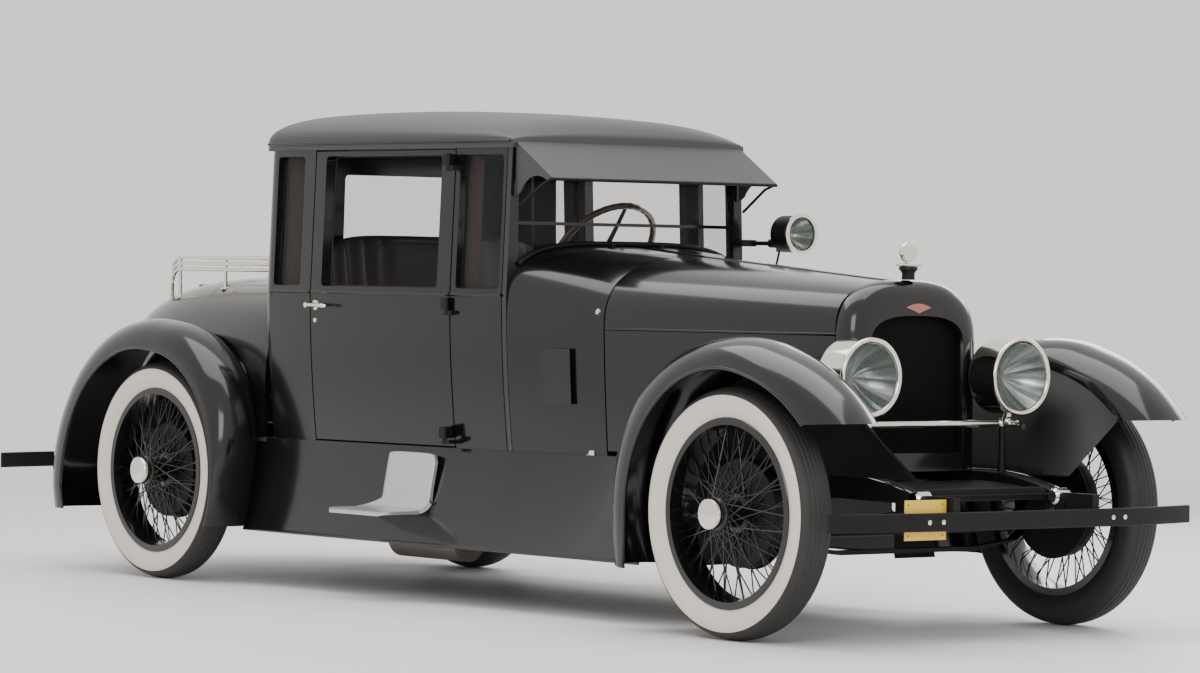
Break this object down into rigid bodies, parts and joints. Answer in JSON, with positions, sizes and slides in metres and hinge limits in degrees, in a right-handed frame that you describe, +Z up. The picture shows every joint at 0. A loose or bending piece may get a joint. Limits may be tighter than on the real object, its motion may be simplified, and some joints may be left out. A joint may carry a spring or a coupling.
{
  "type": "vintage two-seat coupe motor car",
  "caption": "Vintage two-seat coupe: long bonnet, upright cab, domed wings over wire wheels, nickel lamps and luggage rack; doors, bonnet, lid, wheels and steering move.",
  "frame": {"origin": "middle of the whole car’s box, on the ground", "axes": "+X towards the radiator and front bumper, +Y towards the driver’s left side, +Z up"},
  "size_m": [5.09, 1.7, 1.7548],
  "materials": {
    "body_paint": "gloss black",
    "chassis_paint": "satin black",
    "roof_fabric": "grained black top cloth",
    "nickel": "polished nickel",
    "cast_aluminium": "satin",
    "cast_iron": "rough",
    "exhaust_steel": "heat dulled",
    "floor_boards": "dark stained",
    "dash_wood": "satin varnish",
    "rim_wood": "gloss varnish",
    "leather": "satin",
    "core_brass": "dull honeycomb",
    "glass": "clear",
    "plate_yellow": "blank, semi-gloss",
    "tyre_rubber": "black tread, cream sidewall",
    "wheel_paint": "gloss black"
  },
  "bodies": {
    "car_body": {"frame": "chassis_paint", "front_axle": "chassis_paint", "rear_axle": "chassis_paint", "leaf_springs": "chassis_paint", "engine_block": "cast_iron", "drive_shaft": "chassis_paint", "exhaust": "exhaust_steel", "fuel_tank": "chassis_paint", "floor": "floor_boards", "firewall": "body_paint", "cowl": "body_paint", "windscreen_frame": "body_paint", "window_glass": "glass", "body_sides": "body_paint", "cab_back": "body_paint", "roof": "roof_fabric", "sun_visor": "roof_fabric", "dashboard": "dash_wood", "seat_box": "floor_boards", "seat_cushion": "leather", "seat_back": "leather", "steering_column": "chassis_paint", "rear_deck": "body_paint", "luggage_rack": "nickel", "splash_aprons": "body_paint", "steps": "cast_aluminium", "front_wings": "body_paint", "rear_wings": "body_paint", "radiator_shell": "nickel", "radiator_core": "core_brass", "radiator_cap": "nickel", "headlights": "nickel", "headlight_lenses": "glass", "headlight_bar": "nickel", "spotlight": "nickel", "front_bumper": "nickel", "rear_bumper": "nickel", "licence_plate": "plate_yellow", "hood_hinge": "body_paint"},
    "left_knuckle": {"left_knuckle": "chassis_paint"},
    "right_knuckle": {"right_knuckle": "chassis_paint"},
    "tie_rod": {"tie_rod": "chassis_paint"},
    "steering_wheel": {"steering_wheel": "rim_wood"},
    "front_left_wheel": {"front_left_tyre": "tyre_rubber", "front_left_wheel": "wheel_paint"},
    "front_right_wheel": {"front_right_tyre": "tyre_rubber", "front_right_wheel": "wheel_paint"},
    "rear_left_wheel": {"rear_left_tyre": "tyre_rubber", "rear_left_wheel": "wheel_paint"},
    "rear_right_wheel": {"rear_right_tyre": "tyre_rubber", "rear_right_wheel": "wheel_paint"},
    "left_door": {"left_door": "body_paint"},
    "right_door": {"right_door": "body_paint"},
    "deck_lid": {"deck_lid": "body_paint"},
    "hood_top_left": {"hood_top_left": "body_paint"},
    "hood_top_right": {"hood_top_right": "body_paint"},
    "hood_side_left": {"hood_side_left": "body_paint"},
    "hood_side_right": {"hood_side_right": "body_paint"}
  },
  "joints": [
    {"name": "left_steer", "type": "hinge", "parent": "car_body", "child": "left_knuckle", "pos_m": [1.955, 0.62, 0.4065], "axis": [0, 0, 1], "range_deg": [-28, 28]},
    {"name": "right_steer", "type": "hinge", "parent": "car_body", "child": "right_knuckle", "pos_m": [1.955, -0.62, 0.4065], "axis": [0, 0, 1], "range_deg": [-28, 28]},
    {"name": "tie_rod_pivot", "type": "hinge", "parent": "left_knuckle", "child": "tie_rod", "pos_m": [1.795, 0.62, 0.3205], "axis": [0, 0, 1], "range_deg": [-28, 28]},
    {"name": "steering_wheel_turn", "type": "hinge", "parent": "car_body", "child": "steering_wheel", "pos_m": [-0.117, 0.35, 1.257], "axis": [-0.766, 0, 0.6428], "range_deg": [-340, 340]},
    {"name": "front_left_wheel_spin", "type": "hinge", "parent": "left_knuckle", "child": "front_left_wheel", "pos_m": [1.955, 0.72, 0.4065], "axis": [0, 1, 0], "continuous": true},
    {"name": "front_right_wheel_spin", "type": "hinge", "parent": "right_knuckle", "child": "front_right_wheel", "pos_m": [1.955, -0.72, 0.4065], "axis": [0, 1, 0], "continuous": true},
    {"name": "rear_left_wheel_spin", "type": "hinge", "parent": "car_body", "child": "rear_left_wheel", "pos_m": [-1.398, 0.72, 0.4065], "axis": [0, 1, 0], "continuous": true},
    {"name": "rear_right_wheel_spin", "type": "hinge", "parent": "car_body", "child": "rear_right_wheel", "pos_m": [-1.398, -0.72, 0.4065], "axis": [0, 1, 0], "continuous": true},
    {"name": "left_door_hinge", "type": "hinge", "parent": "car_body", "child": "left_door", "pos_m": [0.183, 0.5857, 1.05], "axis": [0, 0, -1], "range_deg": [0, 70]},
    {"name": "right_door_hinge", "type": "hinge", "parent": "car_body", "child": "right_door", "pos_m": [0.183, -0.5857, 1.05], "axis": [0, 0, 1], "range_deg": [0, 70]},
    {"name": "left_hood_top_hinge", "type": "hinge", "parent": "car_body", "child": "hood_top_left", "pos_m": [1.915, 0, 1.148], "axis": [0.9972, 0, -0.0753], "range_deg": [0, 45]},
    {"name": "right_hood_top_hinge", "type": "hinge", "parent": "car_body", "child": "hood_top_right", "pos_m": [1.915, 0, 1.148], "axis": [-0.9972, 0, 0.0753], "range_deg": [0, 45]},
    {"name": "left_hood_side_hinge", "type": "hinge", "parent": "hood_top_left", "child": "hood_side_left", "pos_m": [1.9147, 0.28105, 0.98], "axis": [0.9881, -0.1536, 0], "range_deg": [-45, 0]},
    {"name": "right_hood_side_hinge", "type": "hinge", "parent": "hood_top_right", "child": "hood_side_right", "pos_m": [1.9147, -0.28105, 0.98], "axis": [-0.9881, -0.1536, 0], "range_deg": [-45, 0]},
    {"name": "deck_lid_hinge", "type": "hinge", "parent": "car_body", "child": "deck_lid", "pos_m": [-1.91, 0, 1.0947], "axis": [0, 1, 0], "range_deg": [0, 55]}
  ],
  "couplings": [
    {"joint": "right_steer", "follows": "left_steer", "ratio": 1},
    {"joint": "tie_rod_pivot", "follows": "left_steer", "ratio": -1},
    {"joint": "steering_wheel_turn", "follows": "left_steer", "ratio": 12},
    {"joint": "left_hood_side_hinge", "follows": "left_hood_top_hinge", "ratio": -1},
    {"joint": "right_hood_side_hinge", "follows": "right_hood_top_hinge", "ratio": -1}
  ]
}
